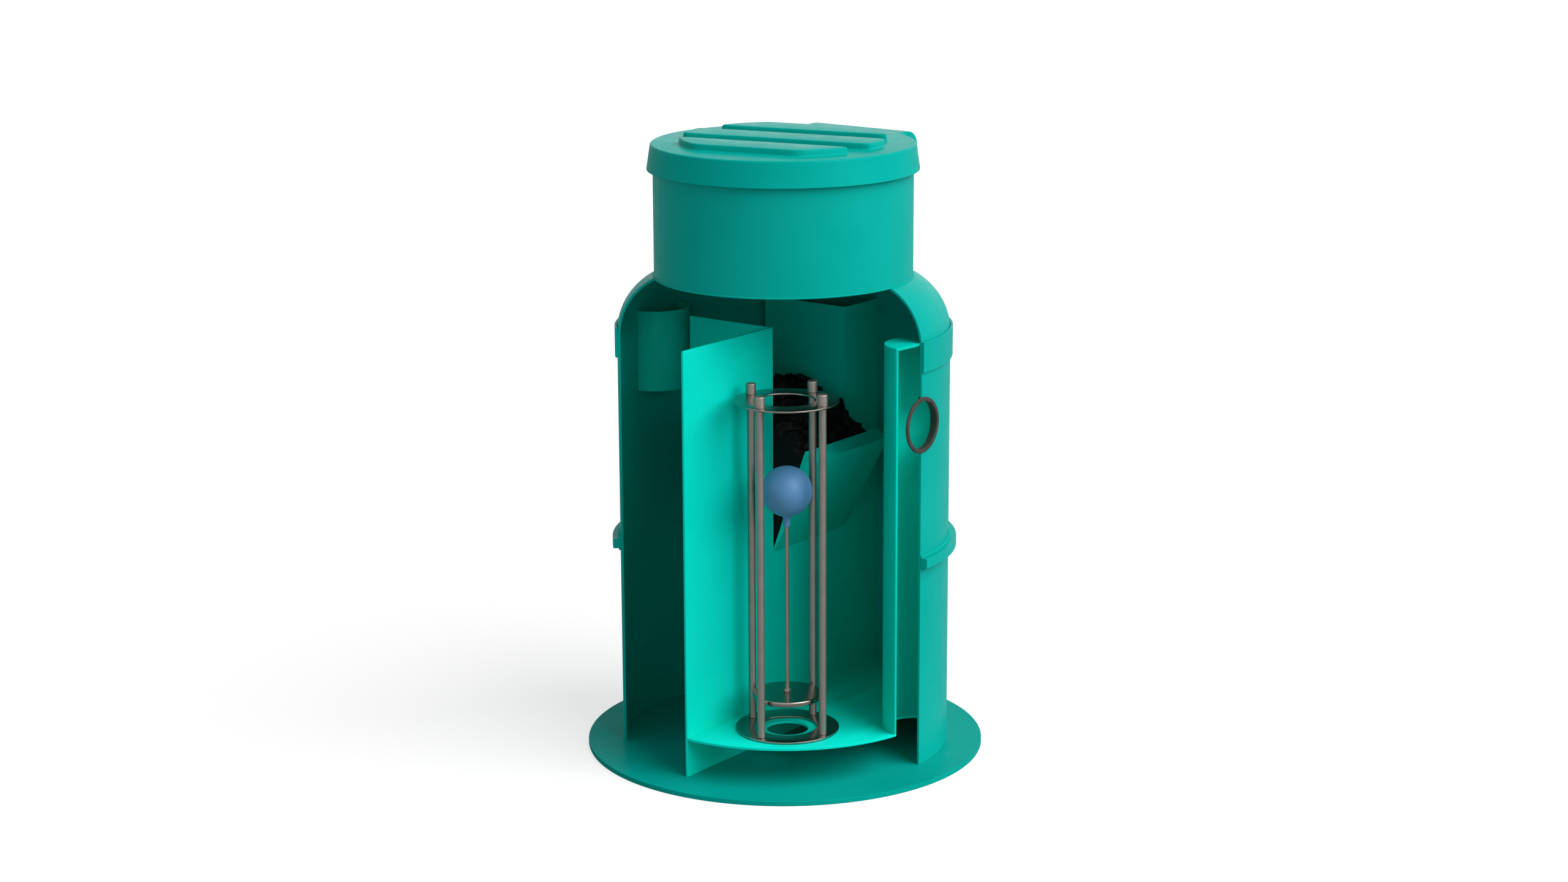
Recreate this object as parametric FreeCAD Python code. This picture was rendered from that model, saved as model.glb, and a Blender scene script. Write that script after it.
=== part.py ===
import FreeCAD, Part
import math
import os

# Upright oil separator of welded plastic sheet, shown with one sector of its shell cut away.
# +X runs from the inlet to the outlet, +Z is up, and the origin lies under the tank's axis,
# in the plane of the floor. All sizes are in millimetres and all angles in degrees.

# Shell
body_radius = 400.0
wall_thickness = 6.0
wall_height = 1002.0
base_radius = 486.0
base_thickness = 12.0
cut_angle = 135.0

# Band at mid height and band over the joint of wall and shoulder
rib_height = 493.0
rib_width = 24.0
rib_depth = 19.0
collar_width = 73.0
collar_depth = 6.0

# Shoulder, neck and lid
shoulder_straight = 18.0
shoulder_knuckle_radius = 148.5
neck_radius = 310.0
neck_height = 312.0
lid_plate_thickness = 6.0
lid_skirt_thickness = 5.0
lid_skirt_height = 56.0
lid_fit_clearance = 1.0
lid_skirt_flare = 9.0
lid_edge_radius = 5.0
lid_tab_half_width = 142.0
lid_tab_reach = 44.0
lid_tab_corner_radius = 38.0
lid_tab_flare = 5.0
tread_circle_radius = 248.0
tread_bar_count = 3
tread_bar_width = 100.0
tread_bar_pitch = 160.0
tread_bar_height = 15.0
tread_angle = 12.0

# Inner plates
plate_thickness = 6.0
plate_rise_over_wall = 33.0
floor_clearance = 91.0
recess_cage_clearance = 32.0
recess_far_bay_share = 0.3525
recess_back_bay_share = 0.3725
recess_floor_height = 483.0
sill_reach_low = 134.0
sill_height_low = 242.0
sill_reach_high = 97.0
sill_height_high = 259.0
media_clearance = 0.3
media_back_height = 300.0
media_peak_height = 375.0
media_front_height = 316.0
media_edge_radius = 12.0

# Pipe connections and the ducts behind them
pipe_bore_radius = 57.0
seal_lip_depth = 2.0
seal_neck_thickness = 3.0
seal_flange_width = 10.0
seal_outer_thickness = 6.0
seal_inner_thickness = 4.0
seal_edge_radius = 2.5
seal_collar_clearance = 5.0
outlet_axis_height = 841.0
duct_radius = 83.0
duct_thickness = 6.0
inlet_baffle_length = 200.0

# Float cage
cage_plate_clearance = 23.0
cage_wall_clearance = 25.5
cage_ring_share = 0.31
drain_step = 21.0
seat_overlap = 12.0
seat_ring_thickness = 6.0
rod_edge_distance = 20.0
rod_radius = 9.0
rod_running_clearance = 12.0
rod_height = 797.0
stud_radius = 5.0
stud_clearance = 0.3
top_ring_thickness = 4.0
top_ring_float_clearance = 9.0
cap_radius = 12.0
cap_height = 27.0
cap_edge_radius = 1.5

# Float valve, drawn lifted off its seat
valve_lift = 72.0
disc_thickness = 13.0
disc_edge_radius = 4.0
stem_radius = 5.0
nut_across_flats = 15.0
nut_height = 9.0
float_radius = 60.5
float_height = 495.5
float_neck_radius = 8.5
float_neck_length = 26.0
float_neck_fillet = 12.0
stem_socket_depth = 14.0

base_top = base_thickness
inner_radius = body_radius - wall_thickness
wall_joint_z = base_top + rib_height + rib_width / 2.0
joint_z = base_top + wall_height
plates_top = base_top + wall_height + plate_rise_over_wall
chamber_floor_z = base_top + floor_clearance
chamber_floor_top = chamber_floor_z + plate_thickness
recess_floor_z = base_top + recess_floor_height
half_plate = plate_thickness / 2.0
kept_angle = 360.0 - cut_angle

seal_neck_bore_radius = pipe_bore_radius + seal_lip_depth
seal_opening_radius = seal_neck_bore_radius + seal_neck_thickness
seal_flange_radius = pipe_bore_radius + seal_flange_width
inlet_axis_height = wall_height - collar_width / 2.0 - seal_collar_clearance - seal_flange_radius

cage_ring_radius = cage_ring_share * body_radius
rod_circle_radius = cage_ring_radius - rod_edge_distance
disc_radius = rod_circle_radius - rod_radius - rod_running_clearance
seat_bore_radius = disc_radius - seat_overlap
drain_radius = seat_bore_radius - drain_step
top_ring_bore_radius = float_radius + top_ring_float_clearance

cage_x = half_plate + cage_plate_clearance + cage_ring_radius
cage_centre_radius = inner_radius - cage_wall_clearance - cage_ring_radius
cage_y = -math.sqrt(cage_centre_radius ** 2 - cage_x ** 2)

recess_left = cage_y + rod_circle_radius + rod_radius + recess_cage_clearance
recess_right = inner_radius - recess_far_bay_share * body_radius
recess_depth = inner_radius - recess_back_bay_share * body_radius

axis_z = FreeCAD.Vector(0, 0, 1)
origin = FreeCAD.Vector(0, 0, 0)


def save(name, shape):
    """Write one piece to its own file."""
    shape.exportStep(os.path.join("parts", name + ".step"))


def point(radius, height):
    """A point of a profile that is turned about the tank's axis."""
    return FreeCAD.Vector(radius, 0, height)


def line(start, end):
    return Part.makeLine(start, end)


def turned(edges, angle=360.0):
    """Turn a closed profile of edges about the vertical axis through the origin."""
    face = Part.Face(Part.Wire(Part.__sortEdges__(edges)))
    return face.revolve(origin, axis_z, angle)


def turned_polygon(points, angle=360.0):
    """Turn a closed outline of (radius, height) pairs."""
    corners = [point(radius, height) for radius, height in points]
    return Part.Face(Part.makePolygon(corners + corners[:1])).revolve(origin, axis_z, angle)


def turned_band(inner, outer, low, high, angle=360.0):
    """A plain ring or a sector of one."""
    return turned_polygon([(inner, low), (outer, low), (outer, high), (inner, high)], angle)


def cylinder(radius, low, high, x=0.0, y=0.0):
    return Part.makeCylinder(radius, high - low, FreeCAD.Vector(x, y, low))


def tube(inner, outer, low, high, x=0.0, y=0.0):
    return cylinder(outer, low, high, x, y).cut(cylinder(inner, low, high, x, y))


def block(x_low, x_high, y_low, y_high, z_low, z_high):
    corner = FreeCAD.Vector(x_low, y_low, z_low)
    return Part.makeBox(x_high - x_low, y_high - y_low, z_high - z_low, corner)


def outlined(points, y_low, y_high):
    """A plate whose outline of (x, z) pairs is drawn from the side and runs along Y."""
    corners = [FreeCAD.Vector(x, y_low, z) for x, z in points]
    face = Part.Face(Part.makePolygon(corners + corners[:1]))
    return face.extrude(FreeCAD.Vector(0, y_high - y_low, 0))


def turned_to_inlet(shape):
    """The same piece on the inlet side of the tank."""
    copy = shape.copy()
    copy.rotate(origin, axis_z, 180.0)
    return copy


def level_bore(radius, z, x_low, x_high):
    """A round bar along X, used to cut a pipe opening."""
    start = FreeCAD.Vector(x_low, 0, z)
    return Part.makeCylinder(radius, x_high - x_low, start, FreeCAD.Vector(1, 0, 0))


# Base plate: one flat disc that is wider than the tank.
def base_plate():
    return cylinder(base_radius, 0.0, base_top)


# Tank wall: two courses of rolled sheet, welded to each other behind the stiffening rib.
# The cut sector runs from the outlet clockwise, so its end passes through the middle of
# the outlet opening, which is in the upper course with the inlet opening.
def tank_wall_lower():
    return turned_band(inner_radius, body_radius, base_top, wall_joint_z, kept_angle)


def tank_wall_upper():
    wall = turned_band(inner_radius, body_radius, wall_joint_z, joint_z, kept_angle)
    outlet = level_bore(seal_opening_radius, base_top + outlet_axis_height, 0, body_radius)
    inlet = level_bore(seal_opening_radius, base_top + inlet_axis_height, -body_radius, 0)
    return wall.cut(outlet).cut(inlet)


# Stiffening rib: a square bar welded round the joint of the wall's two courses.
def stiffening_rib():
    low = base_top + rib_height
    return turned_band(body_radius, body_radius + rib_depth, low, low + rib_width, kept_angle)


# Shoulder collar: a flat band that covers the joint of wall and shoulder.
def shoulder_collar():
    low = joint_z - collar_width / 2.0
    outer = body_radius + collar_depth
    return turned_band(body_radius, outer, low, low + collar_width, kept_angle)


# Shoulder: a short straight rim, then a knuckle that turns in to the neck.
shoulder_spring_z = joint_z + shoulder_straight
knuckle_centre_radius = body_radius - shoulder_knuckle_radius


def knuckle_height(arc_radius, radius):
    """Height above the spring line where the knuckle's arc has come in to a radius."""
    return math.sqrt(arc_radius ** 2 - (radius - knuckle_centre_radius) ** 2)


def knuckle_arc(arc_radius, radius):
    """Arc of the profile from the spring line up to a radius."""
    end_height = knuckle_height(arc_radius, radius)
    half_turn = math.atan2(end_height, radius - knuckle_centre_radius) / 2.0
    middle = point(knuckle_centre_radius + arc_radius * math.cos(half_turn),
                   shoulder_spring_z + arc_radius * math.sin(half_turn))
    start = point(knuckle_centre_radius + arc_radius, shoulder_spring_z)
    end = point(radius, shoulder_spring_z + end_height)
    return Part.Arc(start, middle, end).toShape()


neck_inner_radius = neck_radius - wall_thickness
neck_foot_z = shoulder_spring_z + knuckle_height(shoulder_knuckle_radius, neck_radius)


def shoulder_sector(angle):
    inner_arc_radius = shoulder_knuckle_radius - wall_thickness
    outer_arc = knuckle_arc(shoulder_knuckle_radius, neck_radius)
    inner_arc = knuckle_arc(inner_arc_radius, neck_inner_radius)
    lip_z = shoulder_spring_z + knuckle_height(inner_arc_radius, neck_inner_radius)
    edges = [
        outer_arc,
        inner_arc,
        line(point(inner_radius, joint_z), point(body_radius, joint_z)),
        line(point(body_radius, joint_z), point(body_radius, shoulder_spring_z)),
        line(point(inner_radius, joint_z), point(inner_radius, shoulder_spring_z)),
        line(point(neck_radius, neck_foot_z), point(neck_inner_radius, neck_foot_z)),
        line(point(neck_inner_radius, neck_foot_z), point(neck_inner_radius, lip_z)),
    ]
    return turned(edges, angle)


def shoulder():
    return shoulder_sector(kept_angle)


def clear_of_shoulder(shape):
    """Trim an inner piece to the curve that the shoulder has all round."""
    return shape.cut(shoulder_sector(360.0))


# Neck: the access shaft, a whole ring that the cut leaves alone.
neck_top_z = neck_foot_z + neck_height


def neck():
    return tube(neck_inner_radius, neck_radius, neck_foot_z, neck_top_z)


# Lid: one moulding, a plate with a flared skirt, a square tab at the back of its rim and
# three plain raised bars that stiffen the plate. The tab and the bars are hollow underneath.
lid_top_z = neck_top_z + lid_plate_thickness
skirt_inner_top = neck_radius + lid_fit_clearance
skirt_inner_foot = skirt_inner_top + lid_skirt_flare
lid_top_radius = skirt_inner_top + lid_skirt_thickness
lid_foot_radius = skirt_inner_foot + lid_skirt_thickness
skirt_foot_z = neck_top_z - lid_skirt_height


def lid_shell():
    edge_inner = point(lid_top_radius - lid_edge_radius, lid_top_z)
    edge_outer = point(lid_top_radius, lid_top_z - lid_edge_radius)
    bend = lid_edge_radius * (1.0 - math.sqrt(0.5))
    edge_middle = point(lid_top_radius - bend, lid_top_z - bend)
    edges = [
        line(point(0, neck_top_z), point(skirt_inner_top, neck_top_z)),
        line(point(skirt_inner_top, neck_top_z), point(skirt_inner_foot, skirt_foot_z)),
        line(point(skirt_inner_foot, skirt_foot_z), point(lid_foot_radius, skirt_foot_z)),
        line(point(lid_foot_radius, skirt_foot_z), edge_outer),
        Part.Arc(edge_outer, edge_middle, edge_inner).toShape(),
        line(edge_inner, point(0, lid_top_z)),
        line(point(0, lid_top_z), point(0, neck_top_z)),
    ]
    return turned(edges)


def tab_block(inset):
    """The tab's outer form, or its hollow when every face is moved in by a wall."""
    half_width = lid_tab_half_width - inset
    top = lid_top_z - inset
    back = lid_top_radius + lid_tab_reach - inset
    corner = lid_tab_corner_radius - inset
    bend = corner * (1.0 - math.sqrt(0.5))

    def place(y, z):
        return FreeCAD.Vector(-half_width, y, z)

    rounding = Part.Arc(place(back, top - corner), place(back - bend, top - bend),
                        place(back - corner, top)).toShape()
    edges = [
        line(place(0, skirt_foot_z), place(back + lid_tab_flare, skirt_foot_z)),
        line(place(back + lid_tab_flare, skirt_foot_z), place(back, top - corner)),
        rounding,
        line(place(back - corner, top), place(0, top)),
        line(place(0, top), place(0, skirt_foot_z)),
    ]
    face = Part.Face(Part.Wire(Part.__sortEdges__(edges)))
    return face.extrude(FreeCAD.Vector(2.0 * half_width, 0, 0))


def lid_inside():
    """The room under the plate and inside the skirt."""
    return turned_polygon([(0, skirt_foot_z), (skirt_inner_foot, skirt_foot_z),
                           (skirt_inner_top, neck_top_z), (0, neck_top_z)])


def lid_outside():
    """All that the round skirt encloses, its wall included."""
    return turned_polygon([(0, skirt_foot_z), (lid_foot_radius, skirt_foot_z),
                           (lid_top_radius, lid_top_z), (0, lid_top_z)])


def tread_bar(offset, inset, low, high):
    """A raised bar within the tread circle, or its hollow when its sides are moved in."""
    half_width = tread_bar_width / 2.0 - inset
    bar = block(-tread_circle_radius, tread_circle_radius,
                offset - half_width, offset + half_width, low, high)
    bar.rotate(origin, axis_z, tread_angle)
    return bar.common(cylinder(tread_circle_radius - inset, low, high))


def lid():
    whole = lid_shell().fuse(tab_block(0.0).cut(lid_inside()))
    whole = whole.cut(tab_block(lid_skirt_thickness).cut(lid_outside()))
    raised_top = lid_top_z + tread_bar_height
    for index in range(tread_bar_count):
        offset = (index - (tread_bar_count - 1) / 2.0) * tread_bar_pitch
        whole = whole.fuse(tread_bar(offset, 0.0, neck_top_z, raised_top))
        hollow = tread_bar(offset, lid_plate_thickness, neck_top_z,
                           raised_top - lid_plate_thickness)
        whole = whole.cut(hollow)
    return whole.removeSplitter()


# Cross wall: one sheet from wall to wall, notched for the coalescer recess.
def cross_wall():
    disc = cylinder(inner_radius, base_top, plates_top)
    sheet = block(-half_plate, half_plate, -inner_radius, inner_radius, base_top, plates_top)
    notch = block(-half_plate, half_plate, recess_left, recess_right,
                  recess_floor_z, plates_top)
    return clear_of_shoulder(sheet.common(disc).cut(notch))


# Recess plates: two upright side plates behind the notch and a level floor between them.
def recess_side_near():
    return block(-recess_depth, -half_plate, recess_left - plate_thickness, recess_left,
                 recess_floor_z, plates_top)


def recess_side_far():
    return block(-recess_depth, -half_plate, recess_right, recess_right + plate_thickness,
                 recess_floor_z, plates_top)


def recess_floor():
    return block(-recess_depth, -half_plate, recess_left, recess_right,
                 recess_floor_z, recess_floor_z + plate_thickness)


# Sill: a wedge that leans out from the foot of the notch and holds the coalescer back.
def sill_outline():
    return [
        (half_plate, recess_floor_z - plate_thickness),
        (sill_reach_low, recess_floor_z + sill_height_low),
        (sill_reach_high, recess_floor_z + sill_height_high),
        (half_plate, recess_floor_z + plate_thickness),
    ]


def recess_sill():
    return outlined(sill_outline(), recess_left, recess_right)


# Coalescer pack: a heap of knitted mesh that lies on the floor and against the sill.
def coalescer_pack():
    low = recess_floor_z + plate_thickness + media_clearance
    sill_rise = sill_height_high - plate_thickness
    sill_lean = (sill_reach_high - half_plate) / sill_rise

    def sill_face(height):
        """X of the pack's front, just clear of the sill's inner face."""
        return half_plate + (height - plate_thickness) * sill_lean - 2.0 * media_clearance

    outline = [
        (-recess_depth + media_clearance, low),
        (-recess_depth + media_clearance, recess_floor_z + media_back_height),
        (-recess_depth / 2.0, recess_floor_z + media_peak_height),
        (0.0, recess_floor_z + media_front_height),
        (sill_face(sill_height_high), recess_floor_z + sill_height_high),
        (sill_face(plate_thickness + media_clearance), low),
    ]
    heap = outlined(outline, recess_left + media_clearance, recess_right - media_clearance)
    upper = [edge for edge in heap.Edges if edge.BoundBox.ZMin > recess_floor_z + sill_height_high - 1.0]
    return heap.makeFillet(media_edge_radius, upper)


# Ducts behind the pipe connections: half pipes whose edges are welded to the tank wall, with
# their axis in the wall's inner face.
def wall_duct(low, high):
    pipe = tube(duct_radius - duct_thickness, duct_radius, low, high, inner_radius)
    return clear_of_shoulder(pipe.common(cylinder(inner_radius, low, high)))


def inlet_baffle():
    return turned_to_inlet(wall_duct(plates_top - inlet_baffle_length, plates_top))


def outlet_riser():
    return wall_duct(chamber_floor_top, plates_top - plate_thickness)


def outlet_riser_cap():
    disc = cylinder(duct_radius, plates_top - plate_thickness, plates_top, inner_radius)
    within_wall = disc.common(cylinder(inner_radius, plates_top - plate_thickness, plates_top))
    return clear_of_shoulder(within_wall)


# Pipe seals: rubber mouldings with a flat ring outside, whose bore grips the pipe, a wider
# sleeve through the wall and a thin flange inside it. A sawn seal has lost the half of its
# sleeve and flange that lay in the cut sector, and keeps the whole ring.
def pipe_seal(axis_height, sawn):
    z = base_top + axis_height
    low = z - seal_flange_radius
    high = z + seal_flange_radius
    face_x = body_radius + seal_outer_thickness
    ring = level_bore(seal_flange_radius, z, body_radius, face_x)
    rims = [edge for edge in ring.Edges if edge.Curve.TypeId == "Part::GeomCircle"]
    ring = ring.makeFillet(seal_edge_radius, rims)
    flange = tube(inner_radius - seal_inner_thickness, inner_radius, low, high)
    flange = flange.common(level_bore(seal_flange_radius, z, 0, body_radius))
    sleeve = level_bore(seal_opening_radius, z, 0, body_radius)
    sleeve = sleeve.cut(cylinder(inner_radius, low, high)).fuse(flange)
    if sawn:
        sleeve = sleeve.cut(block(0, body_radius, -seal_flange_radius, 0, low, high))
    seal = ring.fuse(sleeve).removeSplitter()
    seal = seal.cut(level_bore(seal_neck_bore_radius, z, 0, body_radius))
    return seal.cut(level_bore(pipe_bore_radius, z, 0, face_x))


# Chamber floor: the outlet side's false floor, with the drain opening under the float
# cage and the open foot of the riser.
def chamber_floor():
    disc = cylinder(inner_radius, chamber_floor_z, chamber_floor_top)
    inlet_half = block(-inner_radius, half_plate, -inner_radius, inner_radius,
                       chamber_floor_z, chamber_floor_top)
    drain = cylinder(drain_radius, chamber_floor_z, chamber_floor_top, cage_x, cage_y)
    riser = cylinder(duct_radius - duct_thickness, chamber_floor_z, chamber_floor_top,
                     inner_radius)
    return disc.cut(inlet_half).cut(drain).cut(riser)


# Float cage: a seat ring, four rods on a circle, a top ring and four cap nuts.
seat_top = chamber_floor_top + seat_ring_thickness
top_ring_z = seat_top + rod_height
top_ring_top = top_ring_z + top_ring_thickness
rod_places = {"outlet": 0.0, "back": 90.0, "inlet": 180.0, "front": 270.0}


def rod_centre(angle):
    turn = math.radians(angle)
    return (cage_x + rod_circle_radius * math.cos(turn),
            cage_y + rod_circle_radius * math.sin(turn))


def seat_ring():
    return tube(seat_bore_radius, cage_ring_radius, chamber_floor_top, seat_top, cage_x, cage_y)


def cage_top_ring():
    ring = tube(top_ring_bore_radius, cage_ring_radius, top_ring_z, top_ring_top, cage_x, cage_y)
    for angle in rod_places.values():
        x, y = rod_centre(angle)
        ring = ring.cut(cylinder(stud_radius + stud_clearance, top_ring_z, top_ring_top, x, y))
    return ring


def guide_rod(angle):
    """A round rod with a thinner stud that passes the top ring and enters the cap nut."""
    x, y = rod_centre(angle)
    stud_top = top_ring_top + cap_height / 2.0
    rod = cylinder(rod_radius, seat_top, top_ring_z, x, y)
    return rod.fuse(cylinder(stud_radius, top_ring_z, stud_top, x, y)).removeSplitter()


def cap_nut(angle):
    x, y = rod_centre(angle)
    cap = cylinder(cap_radius, top_ring_top, top_ring_top + cap_height, x, y)
    top_edges = [edge for edge in cap.Edges if edge.BoundBox.ZMin > top_ring_top + cap_height / 2.0]
    cap = cap.makeFillet(cap_edge_radius, top_edges)
    socket_top = top_ring_top + cap_height / 2.0 + stud_clearance
    return cap.cut(cylinder(stud_radius, top_ring_top, socket_top, x, y))


# Float valve: a disc on a stem under a hollow float, which closes the seat as it sinks.
disc_z = seat_top + valve_lift
disc_top = disc_z + disc_thickness
float_centre_z = disc_top + float_height
neck_tip_z = float_centre_z - float_radius - float_neck_length


def valve_disc():
    disc = cylinder(disc_radius, disc_z, disc_top, cage_x, cage_y)
    rims = [edge for edge in disc.Edges if edge.Curve.TypeId == "Part::GeomCircle"]
    disc = disc.makeFillet(disc_edge_radius, rims)
    return disc.cut(cylinder(stem_radius, disc_z, disc_top, cage_x, cage_y))


def stem_nut():
    corner_radius = nut_across_flats / math.sqrt(3.0)
    corners = []
    for index in range(6):
        turn = math.radians(60.0 * index)
        corners.append(FreeCAD.Vector(cage_x + corner_radius * math.cos(turn),
                                      cage_y + corner_radius * math.sin(turn), disc_top))
    face = Part.Face(Part.makePolygon(corners + corners[:1]))
    nut = face.extrude(FreeCAD.Vector(0, 0, nut_height))
    return nut.cut(cylinder(stem_radius, disc_top, disc_top + nut_height, cage_x, cage_y))


def float_stem():
    return cylinder(stem_radius, disc_z, neck_tip_z + stem_socket_depth, cage_x, cage_y)


def float_ball():
    """A ball with a tapered neck underneath, turned in one piece about the stem."""
    neck_join_radius = float_neck_radius + float_neck_fillet
    drop = math.sqrt(float_radius ** 2 - neck_join_radius ** 2)
    join = point(neck_join_radius, float_centre_z - drop)
    side = point(float_radius, float_centre_z)
    top = point(0, float_centre_z + float_radius)
    turn = math.radians(-30.0)
    below_side = point(float_radius * math.cos(turn), float_centre_z + float_radius * math.sin(turn))
    diagonal = float_radius * math.sqrt(0.5)
    above_side = point(diagonal, float_centre_z + diagonal)
    fillet_end = point(float_neck_radius, join.z - float_neck_fillet)
    fillet_middle = point(float_neck_radius + float_neck_fillet * (1.0 - math.sqrt(0.5)),
                          join.z - float_neck_fillet * (1.0 - math.sqrt(0.5)))
    tip = point(float_neck_radius - 1.0, neck_tip_z)
    edges = [
        Part.Arc(join, below_side, side).toShape(),
        Part.Arc(side, above_side, top).toShape(),
        Part.Arc(join, fillet_middle, fillet_end).toShape(),
        line(fillet_end, tip),
        line(tip, point(0, neck_tip_z)),
        line(point(0, neck_tip_z), top),
    ]
    ball = turned(edges)
    ball.translate(FreeCAD.Vector(cage_x, cage_y, 0))
    socket_top = neck_tip_z + stem_socket_depth
    return ball.cut(cylinder(stem_radius, neck_tip_z, socket_top, cage_x, cage_y))


os.makedirs("parts", exist_ok=True)
save("base_plate", base_plate())
save("tank_wall_lower", tank_wall_lower())
save("tank_wall_upper", tank_wall_upper())
save("stiffening_rib", stiffening_rib())
save("shoulder_collar", shoulder_collar())
save("shoulder", shoulder())
save("neck", neck())
save("lid", lid())
save("cross_wall", cross_wall())
save("recess_side_near", recess_side_near())
save("recess_side_far", recess_side_far())
save("recess_floor", recess_floor())
save("recess_sill", recess_sill())
save("coalescer_pack", coalescer_pack())
save("inlet_baffle", inlet_baffle())
save("inlet_seal", turned_to_inlet(pipe_seal(inlet_axis_height, False)))
save("outlet_riser", outlet_riser())
save("outlet_riser_cap", outlet_riser_cap())
save("outlet_seal", pipe_seal(outlet_axis_height, True))
save("chamber_floor", chamber_floor())
save("seat_ring", seat_ring())
save("cage_top_ring", cage_top_ring())
for place, rod_angle in rod_places.items():
    save("guide_rod_" + place, guide_rod(rod_angle))
    save("cap_nut_" + place, cap_nut(rod_angle))
save("valve_disc", valve_disc())
save("stem_nut", stem_nut())
save("float_stem", float_stem())
save("float_ball", float_ball())
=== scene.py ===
import math
import bmesh
import bpy
from mathutils import Matrix, Vector, noise


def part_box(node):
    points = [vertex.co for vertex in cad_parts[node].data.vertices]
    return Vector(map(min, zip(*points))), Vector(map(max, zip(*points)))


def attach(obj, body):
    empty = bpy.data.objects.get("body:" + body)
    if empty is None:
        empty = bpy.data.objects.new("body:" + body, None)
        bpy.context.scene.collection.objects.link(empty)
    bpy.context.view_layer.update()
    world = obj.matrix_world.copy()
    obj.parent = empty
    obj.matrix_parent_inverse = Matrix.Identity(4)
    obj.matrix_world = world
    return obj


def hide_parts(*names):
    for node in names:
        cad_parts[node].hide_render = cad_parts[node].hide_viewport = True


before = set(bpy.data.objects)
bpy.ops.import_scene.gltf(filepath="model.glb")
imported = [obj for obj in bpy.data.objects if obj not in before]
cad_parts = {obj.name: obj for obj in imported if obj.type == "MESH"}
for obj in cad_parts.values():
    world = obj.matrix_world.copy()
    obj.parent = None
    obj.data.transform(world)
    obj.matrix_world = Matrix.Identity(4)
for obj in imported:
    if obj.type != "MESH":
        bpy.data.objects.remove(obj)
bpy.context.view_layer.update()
scene = bpy.context.scene
scene.view_settings.view_transform = "Standard"

# ---------------------------------------------------------------------------------------
# Studio: a plain white floor and backdrop, one broad soft lamp on the outlet side, a weak
# one from the camera's side and an even sky. The camera stands in front of the cut sector,
# a little above the lid.
# ---------------------------------------------------------------------------------------


def added(net, kind, settings=None, **fields):
    """A new node of a kind, with its fields and then its inputs set."""
    node = net.nodes.new(kind)
    for field, value in fields.items():
        setattr(node, field, value)
    for socket, value in (settings or {}).items():
        node.inputs[socket].default_value = value
    return node


def wired(net, *wires):
    """Join nodes: each wire gives a node, its output, the next node and that one's input."""
    for start, outlet, end, inlet in wires:
        net.links.new(start.outputs[outlet], end.inputs[inlet])


def linked(name, data):
    """A new object in the scene for a mesh, lamp or camera."""
    thing = bpy.data.objects.new(name, data)
    scene.collection.objects.link(thing)
    return thing


def sun(name, energy, angle, direction):
    """A broad distant lamp that shines from a direction."""
    light = bpy.data.lights.new(name, "SUN")
    light.energy = energy
    light.angle = angle
    linked(name, light).rotation_euler = Vector(direction).to_track_quat("Z", "Y").to_euler()


lens = bpy.data.cameras.new("camera")
lens.lens = 69.205
lens.sensor_width = 36.0
camera = linked("camera", lens)
scene.camera = camera

forward = Vector((-0.57779, 0.78084, -0.2376)).normalized()
level_right = forward.cross(Vector((0, 0, 1))).normalized()
level_up = level_right.cross(forward)
camera_roll = -0.0032
right = level_right * math.cos(camera_roll) + level_up * math.sin(camera_roll)
up = level_up * math.cos(camera_roll) - level_right * math.sin(camera_roll)
turn = Matrix((right, up, -forward)).transposed().to_4x4()
camera.matrix_world = Matrix.Translation((4.2229, -5.7072, 2.4937)) @ turn

sun("key", 2.85, 1.05, (0.58, 0.09, 0.50))
sun("fill", 0.22, 0.90, (0.60, -0.80, 0.12))

sky = bpy.data.worlds.new("sky")
sky.use_nodes = True
scene.world = sky
net = sky.node_tree
net.nodes.clear()
lit = added(net, "ShaderNodeBackground", {"Color": (1, 1, 1, 1), "Strength": 0.30})
seen = added(net, "ShaderNodeBackground", {"Color": (1, 1, 1, 1), "Strength": 1.0})
rays = net.nodes.new("ShaderNodeLightPath")
camera_or_gloss = added(net, "ShaderNodeMath", operation="MAXIMUM")
any_seen = added(net, "ShaderNodeMath", operation="MAXIMUM")
choose = net.nodes.new("ShaderNodeMixShader")
sky_out = net.nodes.new("ShaderNodeOutputWorld")
wired(net, (rays, "Is Camera Ray", camera_or_gloss, 0),
      (rays, "Is Glossy Ray", camera_or_gloss, 1), (camera_or_gloss, 0, any_seen, 0),
      (rays, "Is Transmission Ray", any_seen, 1),
      (any_seen, 0, choose, 0), (lit, 0, choose, 1), (seen, 0, choose, 2),
      (choose, 0, sky_out, 0))

floor_mesh = bpy.data.meshes.new("studio_floor")
floor_half = 30
floor_mesh.from_pydata([(-floor_half, -floor_half, 0), (floor_half, -floor_half, 0),
                        (floor_half, floor_half, 0), (-floor_half, floor_half, 0)],
                       [], [(0, 1, 2, 3)])
floor = linked("studio_floor", floor_mesh)
paper = bpy.data.materials.new("white paper")
paper.use_nodes = True
net = paper.node_tree
net.nodes.clear()
paper_face = added(net, "ShaderNodeBsdfDiffuse", {"Color": (0.45, 0.45, 0.45, 1)})
paper_glow = net.nodes.new("ShaderNodeEmission")
paper_rays = net.nodes.new("ShaderNodeLightPath")
paper_lift = added(net, "ShaderNodeMath", {1: 0.66}, operation="MULTIPLY")
paper_sum = net.nodes.new("ShaderNodeAddShader")
paper_out = net.nodes.new("ShaderNodeOutputMaterial")
wired(net, (paper_rays, "Is Camera Ray", paper_lift, 0), (paper_lift, 0, paper_glow, "Strength"),
      (paper_face, 0, paper_sum, 0), (paper_glow, 0, paper_sum, 1), (paper_sum, 0, paper_out, 0))
floor_mesh.materials.append(paper)

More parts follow.
